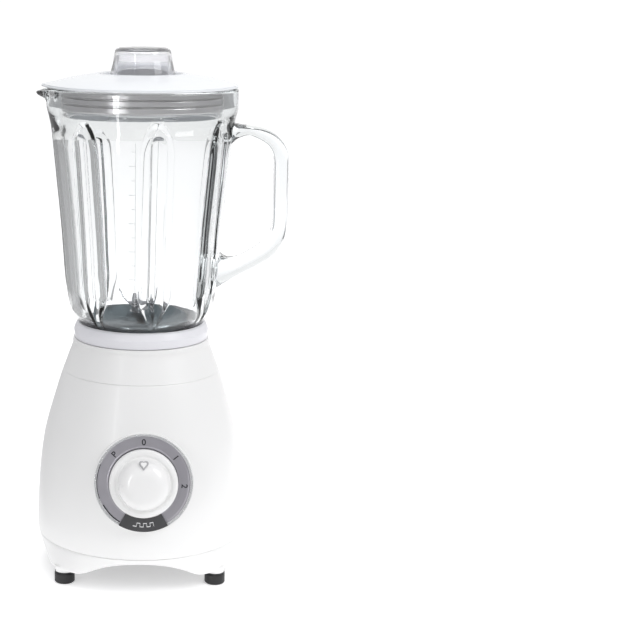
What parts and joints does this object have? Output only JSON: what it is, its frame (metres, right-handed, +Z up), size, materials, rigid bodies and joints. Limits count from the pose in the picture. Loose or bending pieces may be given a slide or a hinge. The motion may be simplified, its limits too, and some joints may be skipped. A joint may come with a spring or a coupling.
{
  "type": "countertop blender",
  "caption": "Countertop blender: fluted glass jug with spout, handle, lid and measuring cap on a tapered white motor base with a rotary dial and rubber feet.",
  "frame": {"origin": "on the drive axis, level with the underside of the rubber feet", "axes": "+Z up along the drive axis, dial faces -Y, handle points to +X and spout to -X"},
  "size_m": [0.1897, 0.1812, 0.4],
  "materials": {
    "white_gloss": "glossy moulded plastic",
    "white_satin": "satin moulded plastic, slightly lavender",
    "lid_plastic": "glossy cool white plastic",
    "black_plastic": "matt black plastic",
    "amber_plastic": "matt red plastic",
    "pale_plastic": "matt pale plastic",
    "dial_silver": "satin silver paint",
    "dial_dark": "printed dark grey",
    "bezel_clear": "polished clear-edged plastic",
    "glass": "polished pressed glass",
    "cap_clear": "polished clear plastic",
    "seal_rubber": "satin silicone",
    "black_rubber": "matt rubber",
    "steel": "brushed stainless",
    "zinc_steel": "zinc plated",
    "laminated_steel": "stacked laminations",
    "copper": "enamelled copper wire",
    "bronze": "sintered bronze",
    "carbon": "pressed carbon",
    "wire_cover": "soft wire insulation"
  },
  "bodies": {
    "root": {"main_housing": "white_gloss", "top_cover": "white_gloss", "foot_ring": "white_gloss", "bottom_cover": "black_plastic", "foot_front_left": "black_rubber", "foot_front_right": "black_rubber", "foot_rear_left": "black_rubber", "foot_rear_right": "black_rubber", "dial_bezel": "bezel_clear", "dial_plate": "dial_silver", "pulse_sector": "dial_dark", "rotary_switch": "black_plastic", "switch_nut": "zinc_steel", "stator_core": "laminated_steel", "field_coils": "copper", "upper_bracket": "zinc_steel", "lower_bracket": "zinc_steel", "upper_bearing": "bronze", "lower_bearing": "bronze", "brush_holders": "bronze", "carbon_brushes": "carbon", "brush_springs": "steel", "motor_grommets": "black_rubber", "motor_screws": "zinc_steel", "stator_screws": "zinc_steel", "cover_screws": "zinc_steel", "base_screws": "zinc_steel", "fan_shroud": "black_plastic", "thermal_fuse": "pale_plastic", "terminal_block": "pale_plastic", "wiring_loom": "wire_cover", "cord_gland": "black_rubber", "shaft_seal_ring": "black_rubber", "interlock_switch": "black_plastic", "interlock_spring": "steel"},
    "rotor": {"motor_shaft": "steel", "armature_core": "laminated_steel", "armature_winding": "copper", "commutator": "copper", "cooling_fan": "black_plastic", "drive_coupling": "black_plastic"},
    "knob": {"knob": "white_gloss", "knob_spindle": "steel"},
    "interlock": {"interlock_plunger": "amber_plastic"},
    "jug": {"glass_jug": "glass", "jug_collar": "white_satin", "jug_gasket": "seal_rubber", "blade_base": "steel", "blade_bushing": "steel"},
    "blades": {"blade_shaft": "steel", "upper_blade": "steel", "lower_blade": "steel", "blade_washer": "steel", "blade_nut": "steel", "blade_coupling": "black_plastic"},
    "lid": {"lid_shell": "lid_plastic", "lid_seal": "seal_rubber"},
    "cap": {"measuring_cap": "cap_clear"}
  },
  "joints": [
    {"name": "rotor_spin", "type": "hinge", "parent": "root", "child": "rotor", "pos_m": [0, 0, 0.1], "axis": [0, 0, 1], "continuous": true},
    {"name": "blade_spin", "type": "hinge", "parent": "jug", "child": "blades", "pos_m": [0, 0, 0.2], "axis": [0, 0, 1], "continuous": true},
    {"name": "knob_turn", "type": "hinge", "parent": "root", "child": "knob", "pos_m": [0.0025, -0.0764, 0.087], "axis": [0, 0.9903, -0.1392], "range_deg": [-46, 95]},
    {"name": "jug_lift", "type": "slide", "parent": "root", "child": "jug", "axis": [0, 0, 1], "range_m": [0, 0.06]},
    {"name": "interlock_travel", "type": "slide", "parent": "root", "child": "interlock", "axis": [0, 0, 1], "range_m": [0, 0.003], "deforming": ["interlock_spring"]},
    {"name": "lid_lift", "type": "slide", "parent": "jug", "child": "lid", "axis": [0, 0, 1], "range_m": [0, 0.04]},
    {"name": "cap_lift", "type": "slide", "parent": "lid", "child": "cap", "axis": [0, 0, 1], "range_m": [0, 0.05]}
  ],
  "couplings": [
    {"joint": "blade_spin", "follows": "rotor_spin", "ratio": 1},
    {"joint": "interlock_travel", "follows": "jug_lift", "ratio": 0.05}
  ]
}
